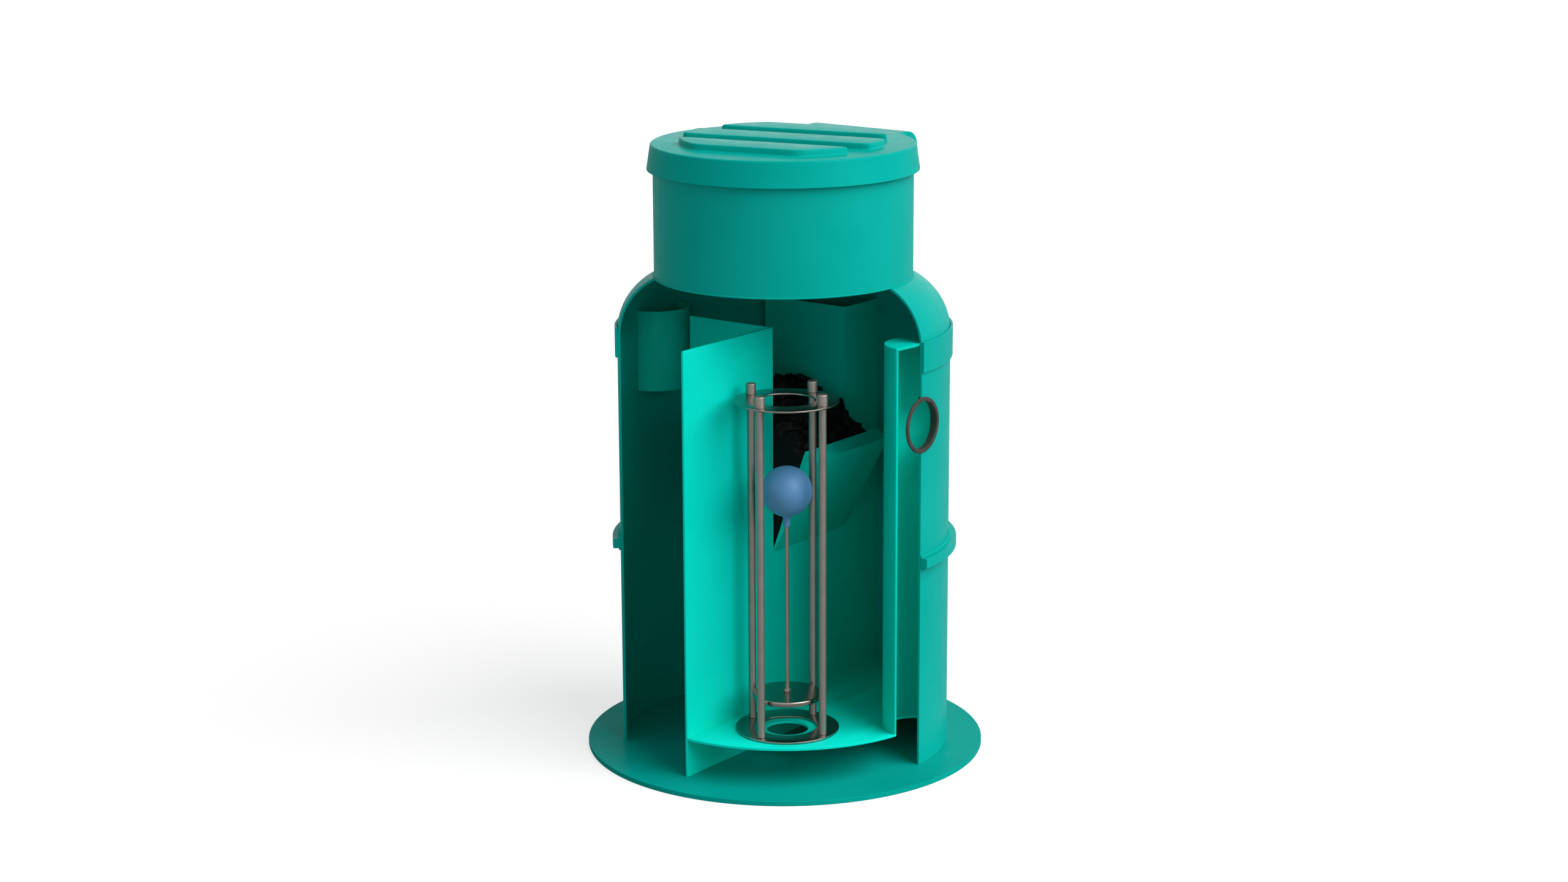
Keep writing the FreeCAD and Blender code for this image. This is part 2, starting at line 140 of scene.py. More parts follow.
# ---------------------------------------------------------------------------------------
# Base plate: one flat disc of thick sea-green sheet, wider than the tank, with its sawn
# rim scraped round. The whole separator stands on it.
# ---------------------------------------------------------------------------------------
base_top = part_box("base_plate")[1].z
base_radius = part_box("base_plate")[1].x
sea_green = (0.0, 0.43, 0.37)


def new_material(name, settings):
    """A material, its net, its shader with the inputs set, and the piece's own coordinates."""
    material = bpy.data.materials.new(name)
    material.use_nodes = True
    net = material.node_tree
    shader = net.nodes["Principled BSDF"]
    for socket, value in settings.items():
        shader.inputs[socket].default_value = value
    return material, net, shader, net.nodes.new("ShaderNodeTexCoord")


def speckle(net, place, scale, detail=2.0, **more):
    """Noise that lies in the piece's own coordinates."""
    spots = added(net, "ShaderNodeTexNoise", {"Scale": scale, "Detail": detail, **more})
    wired(net, (place, "Object", spots, "Vector"))
    return spots


def two_tones(net, low, low_colour, high, high_colour):
    """A ramp from one colour to another."""
    ramp = net.nodes.new("ShaderNodeValToRGB")
    for stop, at, colour in zip(ramp.color_ramp.elements, (low, high), (low_colour, high_colour)):
        stop.position = at
        stop.color = (*colour, 1)
    return ramp


def sheet_plastic(name, colour, roughness=0.34, grain=0.02, waves=0.10, drawn=(1.0, 1.0, 0.12),
                  shine=0.03):
    """Extruded sheet: clouded colour, faint roll marks and a fine grain in its gloss."""
    material, net, shader, place = new_material(name, {"Specular IOR Level": shine})
    red, green, blue = colour
    cloud = speckle(net, place, 4.0, 4.0)
    tone = two_tones(net, 0.3, (red, green * 0.95, blue * 0.94),
                     0.7, (red + 0.003, green * 1.04, blue * 1.04))
    wired(net, (cloud, "Fac", tone, "Fac"), (tone, "Color", shader, "Base Color"))

    smear = speckle(net, place, 22.0, 6.0, Roughness=0.65)
    gloss = added(net, "ShaderNodeMapRange",
                  {"From Min": 0.3, "From Max": 0.7,
                   "To Min": roughness - 0.06, "To Max": roughness + 0.08})
    wired(net, (smear, "Fac", gloss, "Value"), (gloss, "Result", shader, "Roughness"))

    fine = speckle(net, place, 420.0)
    lie = added(net, "ShaderNodeMapping", {"Scale": drawn})
    rolled = added(net, "ShaderNodeTexNoise", {"Scale": 14.0, "Detail": 2.0})
    rolled_bump = added(net, "ShaderNodeBump", {"Strength": waves, "Distance": 0.004})
    grain_bump = added(net, "ShaderNodeBump", {"Strength": grain, "Distance": 0.001})
    wired(net, (place, "Object", lie, "Vector"), (lie, "Vector", rolled, "Vector"),
          (rolled, "Fac", rolled_bump, "Height"), (fine, "Fac", grain_bump, "Height"),
          (rolled_bump, "Normal", grain_bump, "Normal"), (grain_bump, "Normal", shader, "Normal"))
    return material


def band(inner, outer, low, high):
    """The outline of a ring with square corners."""
    return [(inner, low), (outer, low), (outer, high), (inner, high)]


def turned(outline, start=0.0, end=360.0, steps=180, centre=(0.0, 0.0)):
    """A closed outline of (radius, height) pairs turned about an upright axis."""
    shape = bmesh.new()
    whole = end - start >= 360.0
    count = steps if whole else steps + 1
    rings = []
    for index in range(count):
        angle = math.radians(start + (end - start) * index / steps)
        x, y = math.cos(angle), math.sin(angle)
        rings.append([shape.verts.new((centre[0] + r * x, centre[1] + r * y, z))
                      for r, z in outline])
    for index in range(steps):
        here = rings[index]
        ahead = rings[(index + 1) % count]
        for corner in range(len(outline)):
            after = (corner + 1) % len(outline)
            shape.faces.new((here[corner], ahead[corner], ahead[after], here[after]))
    if not whole:
        shape.faces.new(rings[0])
        shape.faces.new(list(reversed(rings[-1])))
    bmesh.ops.remove_doubles(shape, verts=shape.verts, dist=1e-6)
    bmesh.ops.dissolve_degenerate(shape, dist=1e-6, edges=shape.edges)
    return shape


def placed(name, shape, material, edge=0.001, body="tank", nodes=(),
           rounds=2):
    """Close a mesh, ease its sharp edges and let it ride on its body."""
    bmesh.ops.recalc_face_normals(shape, faces=shape.faces)
    mesh = bpy.data.meshes.new(name)
    shape.to_mesh(mesh)
    shape.free()
    mesh.shade_smooth()
    mesh.materials.append(material)
    piece = linked(name, mesh)
    if edge:
        easing = piece.modifiers.new("eased edges", "BEVEL")
        easing.width = edge
        easing.segments = rounds
        easing.limit_method = "ANGLE"
        easing.angle_limit = math.radians(32)
        easing.harden_normals = True
    else:
        mesh.set_sharp_from_angle(angle=math.radians(40))
    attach(piece, body)
    if nodes:
        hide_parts(*nodes)
    return piece


# The plate's sheet is the shell's sea-green made a shade darker: painted shade for the tank's
# shade on the plate.
base_sheet_painted_shade = sheet_plastic("sea-green plate", (0.0, 0.38, 0.33), roughness=0.34, grain=0.004,
                           shine=0.008)
placed("base_disc", turned(band(0, base_radius, 0, base_top), steps=240), base_sheet_painted_shade,
       edge=0.0015, nodes=["base_plate"])

# ---------------------------------------------------------------------------------------
# Tank wall: two courses of rolled sheet butt-welded behind the rib, so that they read as
# one smooth wall. It is sawn off plumb on both sides of the open sector, the sawn edge
# running through the outlet hole.
# ---------------------------------------------------------------------------------------
tank_radius = 0.400
sheet_thickness = 0.006
inner_radius = tank_radius - sheet_thickness
sawn_start = 0.0
sawn_end = 225.0
sawn_steps = 150
wall_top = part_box("tank_wall_upper")[1].z
outlet_z = 0.853
inlet_z = 0.9055
seal_hole_radius = 0.062
tank_sheet = sheet_plastic("sea-green sheet", sea_green)


def sawn_turned(outline):
    """An outline turned about the tank's axis as far as the saw cuts."""
    return turned(outline, sawn_start, sawn_end, sawn_steps)


def bar_along_x(radius, z, x_low, x_high, steps=64):
    """A round cutter that lies along the line from inlet to outlet."""
    shape = bmesh.new()
    bmesh.ops.create_cone(shape, cap_ends=True, segments=steps, radius1=radius, radius2=radius,
                          depth=x_high - x_low)
    middle = Matrix.Translation(((x_low + x_high) / 2, 0, z))
    lay = middle @ Matrix.Rotation(math.radians(90), 4, "Y")
    bmesh.ops.transform(shape, matrix=lay, verts=shape.verts)
    return shape


def evaluated_mesh(piece):
    """The plain mesh that a piece's live modifiers give."""
    graph = bpy.context.evaluated_depsgraph_get()
    return bpy.data.meshes.new_from_object(piece.evaluated_get(graph))


def cut_out(shape, *cutters):
    """The mesh that is left when the cutters' meshes are taken away."""
    helpers = []
    for part in (shape,) + cutters:
        bmesh.ops.recalc_face_normals(part, faces=part.faces)
        mesh = bpy.data.meshes.new("blank")
        part.to_mesh(mesh)
        part.free()
        helpers.append(linked("blank", mesh))
    for cutter in helpers[1:]:
        saw = helpers[0].modifiers.new("saw", "BOOLEAN")
        saw.object = cutter
        saw.solver = "EXACT"
    left = evaluated_mesh(helpers[0])
    result = bmesh.new()
    result.from_mesh(left)
    for helper in helpers:
        bpy.data.objects.remove(helper)
    bpy.data.meshes.remove(left)
    return result


wall_blank = sawn_turned(band(inner_radius, tank_radius, base_top, wall_top))
drill_from, drill_to = 0.2, 0.5
wall = cut_out(wall_blank, bar_along_x(seal_hole_radius, outlet_z, drill_from, drill_to),
               bar_along_x(seal_hole_radius, inlet_z, -drill_to, -drill_from))
placed("tank_wall", wall, tank_sheet, edge=0.0008, nodes=["tank_wall_lower", "tank_wall_upper"])

# ---------------------------------------------------------------------------------------
# Stiffening rib and shoulder collar: a square bar bent round the tank over the joint of its
# two courses, and a flat band that laps the joint of wall and shoulder.
# ---------------------------------------------------------------------------------------
rib_low, rib_high = (corner.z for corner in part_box("stiffening_rib"))
rib_outer = 0.419
placed("rib_bar", sawn_turned(band(tank_radius, rib_outer, rib_low, rib_high)), tank_sheet,
       edge=0.0015, nodes=["stiffening_rib"])

collar_low, collar_high = (corner.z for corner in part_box("shoulder_collar"))
collar_outer = 0.406
placed("collar_band", sawn_turned(band(tank_radius, collar_outer, collar_low, collar_high)),
       tank_sheet, edge=0.0012, nodes=["shoulder_collar"])

# ---------------------------------------------------------------------------------------
# Shoulder: a pressed knuckle of the tank's own sheet that turns the wall in to the neck,
# welded on behind the collar and sawn off with the wall.
# ---------------------------------------------------------------------------------------
spring_z = wall_top + 0.018
knuckle_radius = 0.1485
knuckle_centre = tank_radius - knuckle_radius
neck_radius = 0.310
neck_inner = neck_radius - sheet_thickness
neck_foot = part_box("neck")[0].z


def arc_points(r, z, radius, first, last, steps):
    """Points of an arc in an outline about (r, z), from one angle to another in degrees."""
    angles = [math.radians(first + (last - first) * step / steps) for step in range(steps + 1)]
    return [(r + radius * math.cos(angle), z + radius * math.sin(angle)) for angle in angles]


def knuckle(radius, reach):
    """The knuckle's arc from the spring line in to a reach."""
    last = math.degrees(math.acos((reach - knuckle_centre) / radius))
    return arc_points(knuckle_centre, spring_z, radius, 0.0, last, 16)


shoulder_outline = [(inner_radius, wall_top), (tank_radius, wall_top)]
shoulder_outline += knuckle(knuckle_radius, neck_radius)
shoulder_outline += [(neck_inner, neck_foot)]
shoulder_outline += reversed(knuckle(knuckle_radius - sheet_thickness, neck_inner))
placed("shoulder_knuckle", sawn_turned(shoulder_outline), tank_sheet, edge=0.0008,
       nodes=["shoulder"])

# ---------------------------------------------------------------------------------------
# Neck: the access shaft, a whole ring rolled from the tank's own sheet and butt-welded to
# the shoulder. The lid sits over it.
# ---------------------------------------------------------------------------------------
neck_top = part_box("neck")[1].z
placed("neck_ring", turned(band(neck_inner, neck_radius, neck_foot, neck_top), steps=200),
       tank_sheet, edge=0.0010, nodes=["neck"])

# ---------------------------------------------------------------------------------------
# Lid: one moulding with a flared skirt, a deep square tab at the back for lifting it and
# three plain raised bars across its top, all with soft moulded edges.
# ---------------------------------------------------------------------------------------
lid_top = neck_top + 0.006
skirt_top_inner = neck_radius + 0.001
skirt_foot_inner = skirt_top_inner + 0.009
skirt_thickness = 0.005
skirt_foot = neck_top - 0.056
lid_plastic = sheet_plastic("sea-green moulding", sea_green, roughness=0.24, grain=0.03,
                            waves=0.04, drawn=(1.0, 1.0, 1.0), shine=0.010)

rim_round = 0.005
rim_centre = skirt_top_inner + skirt_thickness - rim_round
lid_outline = [(0, neck_top), (skirt_top_inner, neck_top), (skirt_foot_inner, skirt_foot),
               (skirt_foot_inner + skirt_thickness, skirt_foot)]
lid_outline += arc_points(rim_centre, lid_top - rim_round, rim_round, 0.0, 90.0, 6)
lid_outline.append((0, lid_top))
lid_shape = turned(lid_outline, steps=240)

tab_root = 0.262
tab_half = 0.142
tab_back = skirt_top_inner + skirt_thickness + 0.044
tab_round = 0.038
tab_top = lid_top - 0.0008
tab_flare = 0.005
tab_side = [(tab_root, skirt_foot), (tab_back + tab_flare, skirt_foot)]
tab_side += arc_points(tab_back - tab_round, tab_top - tab_round, tab_round, 0.0, 90.0, 8)
tab_side.append((tab_root, tab_top))


def along_x(outline, x_low, x_high):
    """A closed outline of (y, z) pairs run along X."""
    shape = bmesh.new()
    near = [shape.verts.new((x_low, y, z)) for y, z in outline]
    far = [shape.verts.new((x_high, y, z)) for y, z in outline]
    for corner in range(len(outline)):
        after = (corner + 1) % len(outline)
        shape.faces.new((near[corner], near[after], far[after], far[corner]))
    shape.faces.new(near)
    shape.faces.new(list(reversed(far)))
    return shape


tab_shape = along_x(tab_side, -tab_half, tab_half)
placed("lid_shell", lid_shape, lid_plastic, edge=0.0015, nodes=["lid"])
placed("lid_tab", tab_shape, lid_plastic, edge=0.004, rounds=3)

tread_radius = 0.248
bar_half = 0.050
bar_pitch = 0.160
bar_height = 0.015


def bar_ring(offset, inset, steps=24):
    """The outline of a raised bar within the tread circle, its sides moved in by inset."""
    half = bar_half - inset
    radius = tread_radius - inset
    ys = [offset - half + 2 * half * index / steps for index in range(steps + 1)]
    edge = [(math.sqrt(radius ** 2 - y ** 2), y) for y in ys]
    top_x, bottom_x = edge[-1][0], edge[0][0]
    ring = list(edge)
    ring += [(top_x - 2 * top_x * index / steps, offset + half) for index in range(1, steps)]
    ring += [(-x, y) for x, y in reversed(edge)]
    ring += [(-bottom_x + 2 * bottom_x * index / steps, offset - half)
             for index in range(1, steps)]
    for _ in range(4):
        ring = [((ring[i - 1][0] + 2 * ring[i][0] + ring[(i + 1) % len(ring)][0]) / 4,
                 (ring[i - 1][1] + 2 * ring[i][1] + ring[(i + 1) % len(ring)][1]) / 4)
                for i in range(len(ring))]
    return ring


def skinned(shape, rings):
    """Faces between closed rings of vertices, and one over each end."""
    for low, high in zip(rings, rings[1:]):
        for index in range(len(low)):
            after = (index + 1) % len(low)
            shape.faces.new((low[index], low[after], high[after], high[index]))
    shape.faces.new(list(reversed(rings[0])))
    shape.faces.new(rings[-1])


bar_rise = [(-0.0035, -0.003), (-0.0035, 0.0), (-0.0020, 0.0003), (-0.0008, 0.0011),
            (-0.0001, 0.0024), (0.0, 0.0040), (0.0010, 0.0110), (0.0014, 0.0127),
            (0.0022, 0.0140), (0.0034, 0.0148), (0.0048, bar_height)]
bars = bmesh.new()
tilt = math.radians(12.0)
for count in (-1, 0, 1):
    skinned(bars, [[bars.verts.new((x * math.cos(tilt) - y * math.sin(tilt),
                                    x * math.sin(tilt) + y * math.cos(tilt), lid_top + rise))
                    for x, y in bar_ring(count * bar_pitch, inset)] for inset, rise in bar_rise])
placed("lid_bars", bars, lid_plastic, edge=0)

# ---------------------------------------------------------------------------------------
# Inner plates: the cross wall with its notch, the two recess sides and the recess floor,
# all sawn from a lighter mint sheet than the shell's and welded edge to edge.
# ---------------------------------------------------------------------------------------
mint_sheet = sheet_plastic("mint sheet", (0.0, 0.79, 0.65), roughness=0.36, waves=0.06,
                           drawn=(1.0, 0.15, 1.0))


def merged(node):
    """A closed copy of a CAD node's loose triangles, its flat faces made whole again."""
    shape = bmesh.new()
    shape.from_mesh(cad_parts[node].data)
    bmesh.ops.remove_doubles(shape, verts=shape.verts, dist=1e-6)
    bmesh.ops.dissolve_limit(shape, angle_limit=math.radians(0.6), verts=shape.verts,
                             edges=shape.edges)
    return shape


for node in ("cross_wall", "recess_side_near", "recess_side_far", "recess_floor"):
    placed(node + "_sheet", merged(node), mint_sheet, edge=0.0008, nodes=[node])

# ---------------------------------------------------------------------------------------
# Sill: a wedge box of the same mint sheet that leans out from the foot of the notch and
# holds the coalescer pack back. Its seams are welded and scraped flush.
# ---------------------------------------------------------------------------------------
placed("sill_box", merged("recess_sill"), mint_sheet, edge=0.0015, nodes=["recess_sill"])

# ---------------------------------------------------------------------------------------
# Coalescer pack: a block of black knitted plastic mesh, stuffed into the recess so that its
# layers stand in square lumps. Loose curled strands stick out of its faces.
# ---------------------------------------------------------------------------------------
pack_black, net, shader, place = new_material("black knitted mesh",
                                              {"Specular IOR Level": 0.12, "Roughness": 0.55})
knit = added(net, "ShaderNodeTexVoronoi", {"Scale": 160.0}, feature="DISTANCE_TO_EDGE")
wired(net, (place, "Object", knit, "Vector"))
# The strands are dark grey and the openings between them darker: painted shade in the knit's
# openings.
strand_tone_and_opening_shade = two_tones(net, 0.02, (0.010, 0.010, 0.011), 0.20, (0.002, 0.002, 0.0023))
wired(net, (knit, "Distance", strand_tone_and_opening_shade, "Fac"), (strand_tone_and_opening_shade, "Color", shader, "Base Color"))
knit_bump = added(net, "ShaderNodeBump", {"Strength": 0.8, "Distance": 0.002}, invert=True)
wired(net, (knit, "Distance", knit_bump, "Height"), (knit_bump, "Normal", shader, "Normal"))

depth_kept, depth_slack = 0.985, 0.0012
width_kept, width_slack = 0.955, 0.0020
top_from, top_drop = 0.70, 0.012
pack_shape = merged("coalescer_pack")
bmesh.ops.recalc_face_normals(pack_shape, faces=pack_shape.faces)
for vertex in pack_shape.verts:
    vertex.co.x = depth_kept * vertex.co.x - depth_slack
    vertex.co.y = width_kept * vertex.co.y - width_slack
    if vertex.co.z > top_from:
        vertex.co.z -= top_drop
pack_mesh = bpy.data.meshes.new("pack")
pack_shape.to_mesh(pack_mesh)
pack_shape.free()
pack_block = linked("pack", pack_mesh)


def new_tree(name, source, *values):
    """A tree that makes a mesh of a source mesh, its other inputs given by name and kind."""
    tree = bpy.data.node_groups.new(name, "GeometryNodeTree")
    tree.interface.new_socket(source, in_out="INPUT", socket_type="NodeSocketGeometry")
    inlets = [tree.interface.new_socket(value, in_out="INPUT", socket_type="NodeSocket" + kind)
              for value, kind in values]
    tree.interface.new_socket("Mesh", in_out="OUTPUT", socket_type="NodeSocketGeometry")
    return tree, inlets, tree.nodes.new("NodeGroupInput"), tree.nodes.new("NodeGroupOutput")


def carry(piece, tree, inlets, *values):
    """Let a piece carry a tree, with the tree's inputs set by their identifiers."""
    live = piece.modifiers.new(tree.name, "NODES")
    live.node_group = tree
    for inlet, value in zip(inlets, values):
        live[inlet.identifier] = value


folds, fold_inlets, given, made = new_tree("folds", "Block", ("Distance apart", "Float"),
                                           ("Fold size", "Float"))
scatter = added(folds, "GeometryNodeDistributePointsOnFaces", {"Density Max": 9000.0, "Seed": 5},
                distribute_method="POISSON")
facing = folds.nodes.new("GeometryNodeInputNormal")
upward = folds.nodes.new("ShaderNodeSeparateXYZ")
on_top = added(folds, "ShaderNodeMath", {1: 0.3}, operation="GREATER_THAN")
square = folds.nodes.new("GeometryNodeMeshCube")
toss = added(folds, "FunctionNodeRandomValue",
             {0: (-0.5, -0.5, -3.1), 1: (0.5, 0.5, 3.1), "Seed": 2}, data_type="FLOAT_VECTOR")
vary = added(folds, "FunctionNodeRandomValue",
             {0: (0.6, 0.6, 0.8), 1: (1.25, 1.25, 1.5), "Seed": 8}, data_type="FLOAT_VECTOR")
side = added(folds, "ShaderNodeVectorMath", operation="SCALE")
lay_out = folds.nodes.new("GeometryNodeInstanceOnPoints")
real = folds.nodes.new("GeometryNodeRealizeInstances")
together = folds.nodes.new("GeometryNodeJoinGeometry")
dress = added(folds, "GeometryNodeSetMaterial", {"Material": pack_black})
wired(folds, (given, "Block", scatter, "Mesh"), (given, "Distance apart", scatter, "Distance Min"),
      (facing, "Normal", upward, "Vector"), (upward, "Z", on_top, 0),
      (on_top, "Value", scatter, "Selection"), (scatter, "Points", lay_out, "Points"),
      (square, "Mesh", lay_out, "Instance"), (toss, 0, lay_out, "Rotation"), (vary, 0, side, 0),
      (given, "Fold size", side, "Scale"), (side, "Vector", lay_out, "Scale"),
      (lay_out, "Instances", real, "Geometry"), (real, "Geometry", together, "Geometry"),
      (given, "Block", together, "Geometry"), (together, "Geometry", dress, "Geometry"),
      (dress, "Geometry", made, "Mesh"))
carry(pack_block, folds, fold_inlets, 0.038, 0.042)
weave = pack_block.modifiers.new("even faces", "REMESH")
weave.mode = "VOXEL"
weave.voxel_size = 0.0036
pack_block.data = evaluated_mesh(pack_block)
pack_block.modifiers.clear()
wear, wear_scale = 0.0016, 90.0
worn = [vertex.co - vertex.normal * wear * (noise.noise(vertex.co * wear_scale) + 0.5)
        for vertex in pack_block.data.vertices]
near_plate, far_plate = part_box("recess_side_near"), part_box("recess_side_far")
plate_gap, back_gap = 0.0008, 0.006
for vertex, spot in zip(pack_block.data.vertices, worn):
    spot.y = min(max(spot.y, near_plate[1].y + plate_gap), far_plate[0].y - plate_gap)
    spot.x = max(spot.x, near_plate[0].x + back_gap)
    vertex.co = spot
pack_block.data.set_sharp_from_angle(angle=math.radians(35))
pack_block.data.materials.clear()
pack_block.data.materials.append(pack_black)

tangle, tangle_inlets, given, made = new_tree("tangle", "Block",
                                              ("Strands per square metre", "Float"),
                                              ("Curl radius", "Float"), ("Strand radius", "Float"))
scatter = added(tangle, "GeometryNodeDistributePointsOnFaces", {"Seed": 11})
facing = tangle.nodes.new("GeometryNodeInputNormal")
parts = tangle.nodes.new("ShaderNodeSeparateXYZ")
spot = tangle.nodes.new("GeometryNodeInputPosition")
spot_parts = tangle.nodes.new("ShaderNodeSeparateXYZ")
upward = added(tangle, "ShaderNodeMath", {1: 0.2}, operation="GREATER_THAN")
clear_of_end = added(tangle, "ShaderNodeMath", {1: -0.036}, operation="GREATER_THAN")
endward = added(tangle, "ShaderNodeMath", {1: -0.5}, operation="LESS_THAN")
past_wall = added(tangle, "ShaderNodeMath", {1: 0.014}, operation="GREATER_THAN")
on_top = added(tangle, "ShaderNodeMath", operation="MULTIPLY")
on_end = added(tangle, "ShaderNodeMath", operation="MULTIPLY")
in_view = added(tangle, "ShaderNodeMath", operation="MAXIMUM")
arc = added(tangle, "GeometryNodeCurveArc", {"Resolution": 9, "Sweep Angle": math.radians(230)})
wire = added(tangle, "GeometryNodeCurvePrimitiveCircle", {"Resolution": 3})
strand = tangle.nodes.new("GeometryNodeCurveToMesh")
toss = added(tangle, "FunctionNodeRandomValue", {1: (6.28, 6.28, 6.28), "Seed": 4},
             data_type="FLOAT_VECTOR")
grow = added(tangle, "FunctionNodeRandomValue", {2: 0.6, 3: 1.25, "Seed": 9})
lay_out = tangle.nodes.new("GeometryNodeInstanceOnPoints")
real = tangle.nodes.new("GeometryNodeRealizeInstances")
dress = added(tangle, "GeometryNodeSetMaterial", {"Material": pack_black})
wired(tangle, (given, "Block", scatter, "Mesh"),
      (given, "Strands per square metre", scatter, "Density"), (facing, "Normal", parts, "Vector"),
      (spot, "Position", spot_parts, "Vector"), (parts, "Z", upward, 0),
      (spot_parts, "Y", clear_of_end, 0), (parts, "Y", endward, 0),
      (spot_parts, "X", past_wall, 0), (upward, "Value", on_top, 0),
      (clear_of_end, "Value", on_top, 1), (endward, "Value", on_end, 0),
      (past_wall, "Value", on_end, 1), (on_top, "Value", in_view, 0),
      (on_end, "Value", in_view, 1), (in_view, "Value", scatter, "Selection"),
      (given, "Curl radius", arc, "Radius"), (given, "Strand radius", wire, "Radius"),
      (arc, "Curve", strand, "Curve"), (wire, "Curve", strand, "Profile Curve"),
      (scatter, "Points", lay_out, "Points"), (strand, "Mesh", lay_out, "Instance"),
      (toss, 0, lay_out, "Rotation"), (grow, 1, lay_out, "Scale"),
      (lay_out, "Instances", real, "Geometry"), (real, "Geometry", dress, "Geometry"),
      (dress, "Geometry", made, "Mesh"))
carry(pack_block, tangle, tangle_inlets, 1600.0, 0.0045, 0.0005)
pack_strands = linked("pack_strands", evaluated_mesh(pack_block))
pack_block.modifiers.clear()
pack_block.name = "pack_block"
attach(pack_block, "tank")
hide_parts("coalescer_pack")
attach(pack_strands, "tank")

# ---------------------------------------------------------------------------------------
# Ducts: half pipes of sheet coloured a shade deeper than the inner plates' mint, as painted
# shade for the chamber's shade around them; their edges are welded to the wall behind the
# inlet and the outlet. The riser's flat cap is welded on.
# ---------------------------------------------------------------------------------------
# The ducts' deeper colour is painted shade.
duct_sheet_painted_shade = sheet_plastic("duct sheet", (0.0, 0.62, 0.50), roughness=0.34, waves=0.05)
for node in ("inlet_baffle", "outlet_riser", "outlet_riser_cap"):
    placed(node + "_sheet", merged(node), duct_sheet_painted_shade, edge=0.0008, nodes=[node])

# ---------------------------------------------------------------------------------------
# Chamber floor: the outlet side's false floor, one plate of mint sheet with the drain and
# the riser's open foot cut in it, welded to the wall and the cross wall.
# ---------------------------------------------------------------------------------------
placed("chamber_floor_sheet", merged("chamber_floor"), mint_sheet, edge=0.0008,
       nodes=["chamber_floor"])

# ---------------------------------------------------------------------------------------
# Pipe seals: moulded grey rubber sleeves buttoned into the wall, with a flat soft-edged
# ring outside and a thin flange inside.
# ---------------------------------------------------------------------------------------
seal_rubber, net, shader, place = new_material("grey rubber", {"Specular IOR Level": 0.3})
bloom = speckle(net, place, 60.0, 5.0)
bloom_tone = two_tones(net, 0.35, (0.036, 0.033, 0.028), 0.7, (0.054, 0.050, 0.044))
wired(net, (bloom, "Fac", bloom_tone, "Fac"), (bloom_tone, "Color", shader, "Base Color"))
bloom_gloss = added(net, "ShaderNodeMapRange", {"To Min": 0.50, "To Max": 0.72})
wired(net, (bloom, "Fac", bloom_gloss, "Value"), (bloom_gloss, "Result", shader, "Roughness"))
skin = speckle(net, place, 900.0)
skin_bump = added(net, "ShaderNodeBump", {"Strength": 0.15, "Distance": 0.0006})
wired(net, (skin, "Fac", skin_bump, "Height"), (skin_bump, "Normal", shader, "Normal"))

for node in ("inlet_seal", "outlet_seal"):
    placed(node + "_sleeve", merged(node), seal_rubber, edge=0.0005,
           nodes=[node])

# ---------------------------------------------------------------------------------------
# Float cage: four satin stainless rods stand on a flat seat ring and carry a top ring,
# held by domed round nuts on the rods' studs. Both rings are turned and keep a shine.
# ---------------------------------------------------------------------------------------
cage_low, cage_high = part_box("seat_ring")
cage_x = (cage_low.x + cage_high.x) / 2
cage_y = (cage_low.y + cage_high.y) / 2
cage_centre = (cage_x, cage_y)


def stainless(name, colour, roughness, lines, turned_about=None):
    """Satin steel with fine marks: drawn along a rod, or turned round an upright axis."""
    metal, net, shader, place = new_material(name, {"Metallic": 1.0})
    lie = net.nodes.new("ShaderNodeMapping")
    wired(net, (place, "Object", lie, "Vector"))
    marks = added(net, "ShaderNodeTexNoise", {"Scale": lines, "Detail": 3.0})
    if turned_about:
        lie.inputs["Location"].default_value = (-turned_about[0], -turned_about[1], 0)
        parts = net.nodes.new("ShaderNodeSeparateXYZ")
        flat = net.nodes.new("ShaderNodeCombineXYZ")
        reach = added(net, "ShaderNodeVectorMath", operation="LENGTH")
        wired(net, (lie, "Vector", parts, "Vector"), (parts, "X", flat, "X"),
              (parts, "Y", flat, "Y"), (flat, "Vector", reach, 0))
        marks.noise_dimensions = "1D"
        wired(net, (reach, "Value", marks, "W"))
    else:
        lie.inputs["Scale"].default_value = (1.0, 1.0, 0.02)
        wired(net, (lie, "Vector", marks, "Vector"))
    stain = speckle(net, place, 35.0, 4.0)
    tone = two_tones(net, 0.3, [tint * 0.94 for tint in colour],
                     0.75, [tint * 1.05 for tint in colour])
    wired(net, (stain, "Fac", tone, "Fac"), (tone, "Color", shader, "Base Color"))
    gloss = added(net, "ShaderNodeMapRange",
                  {"To Min": roughness - 0.03, "To Max": roughness + 0.05})
    wired(net, (marks, "Fac", gloss, "Value"), (gloss, "Result", shader, "Roughness"))
    bump = added(net, "ShaderNodeBump", {"Strength": 0.03, "Distance": 0.0003})
    wired(net, (marks, "Fac", bump, "Height"), (bump, "Normal", shader, "Normal"))
    return metal


rod_steel = stainless("drawn stainless", (0.29, 0.265, 0.24), 0.50, 700.0)
ring_steel = stainless("turned stainless", (0.30, 0.275, 0.25), 0.22, 900.0, cage_centre)


def soft_band(inner, outer, low, high, soft):
    """The outline of a flat ring whose four edges are rounded."""
    corners = ((outer - soft, low + soft, -90), (outer - soft, high - soft, 0),
               (inner + soft, high - soft, 90), (inner + soft, low + soft, 180))
    return [spot for r, z, first in corners
            for spot in arc_points(r, z, soft, first, first + 90.0, 3)]


def steel_turned(name, outline, steel, node, steps=120, centre=cage_centre, body="tank"):
    """Place a steel piece that is turned about an upright axis."""
    placed(name, turned(outline, steps=steps, centre=centre), steel, edge=0, body=body,
           nodes=[node])


